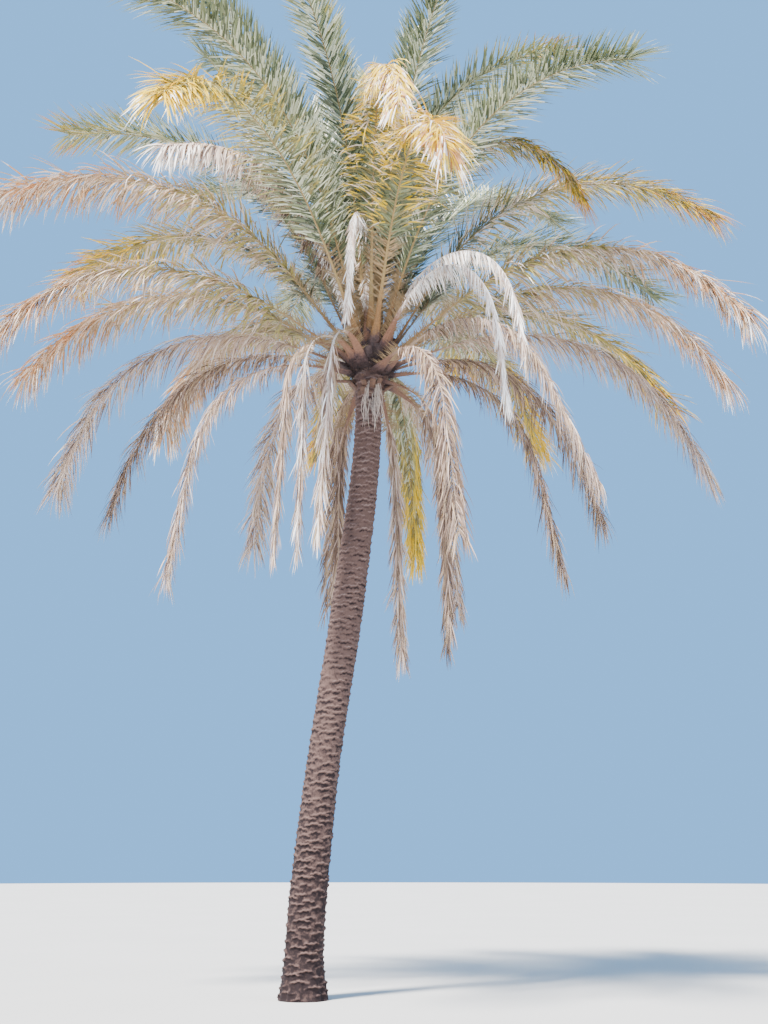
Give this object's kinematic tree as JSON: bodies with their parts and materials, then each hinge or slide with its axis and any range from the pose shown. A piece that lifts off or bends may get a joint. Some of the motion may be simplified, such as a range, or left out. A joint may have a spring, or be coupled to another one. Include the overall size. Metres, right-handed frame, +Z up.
{
  "type": "date palm tree",
  "caption": "Tall date palm rooted in the ground: a slender leaning ringed trunk, a full crown of feather fronds, and dry fronds hanging below it.",
  "frame": {"origin": "centre of the flat cut under the trunk, at ground level", "axes": "+Z up, -Y towards the viewer of the picture, +X to the viewer's right, the side that the trunk leans to"},
  "size_m": [9.4996, 9.3691, 12.1288],
  "materials": {
    "bark": "rough, ringed with old leaf scars, purple-brown with pale lips",
    "leaf_green": "satin, grey-green living leaflets",
    "leaf_yellowing": "satin to dull, yellow and orange ageing leaflets",
    "leaf_dry": "matte, pale tan and beige dead leaflets"
  },
  "bodies": {
    "root": {"trunk": "bark", "frond_spear_1": "leaf_green", "frond_spear_2": "leaf_green", "frond_spear_3": "leaf_green", "frond_inner_1": "leaf_green", "frond_inner_2": "leaf_green", "frond_inner_3": "leaf_green", "frond_inner_4": "leaf_green", "frond_inner_5": "leaf_green", "frond_inner_6": "leaf_green", "frond_inner_7": "leaf_green", "frond_inner_8": "leaf_green", "frond_upper_1": "leaf_green", "frond_upper_2": "leaf_green", "frond_upper_3": "leaf_green", "frond_upper_4": "leaf_green", "frond_upper_5": "leaf_green", "frond_upper_6": "leaf_green", "frond_bowed_1": "leaf_yellowing", "frond_bowed_2": "leaf_yellowing", "frond_bowed_3": "leaf_yellowing", "frond_middle_1": "leaf_yellowing", "frond_middle_2": "leaf_yellowing", "frond_middle_3": "leaf_yellowing", "frond_middle_4": "leaf_yellowing", "frond_middle_5": "leaf_yellowing", "frond_middle_6": "leaf_yellowing", "frond_middle_7": "leaf_yellowing", "frond_middle_8": "leaf_yellowing", "frond_lower_1": "leaf_yellowing", "frond_lower_2": "leaf_yellowing", "frond_lower_3": "leaf_yellowing", "frond_lower_4": "leaf_yellowing", "frond_lower_5": "leaf_yellowing", "frond_lower_6": "leaf_yellowing", "frond_lower_7": "leaf_yellowing", "frond_lower_8": "leaf_yellowing", "frond_low_1": "leaf_dry", "frond_low_2": "leaf_dry", "frond_low_3": "leaf_dry", "frond_low_4": "leaf_dry", "frond_low_5": "leaf_dry", "frond_low_6": "leaf_dry", "frond_drooping_1": "leaf_dry", "frond_drooping_2": "leaf_dry", "frond_drooping_3": "leaf_dry", "frond_drooping_4": "leaf_dry", "frond_drooping_5": "leaf_dry", "frond_drooping_6": "leaf_dry", "frond_hanging_1": "leaf_dry", "frond_hanging_2": "leaf_dry", "frond_hanging_3": "leaf_dry", "frond_arching_1": "leaf_dry", "frond_arching_2": "leaf_dry", "frond_closed_1": "leaf_dry", "frond_snapped_1": "leaf_dry", "frond_skirt_1": "leaf_dry", "frond_skirt_2": "leaf_dry", "frond_skirt_3": "leaf_dry", "frond_skirt_4": "leaf_dry"}
  },
  "joints": []
}
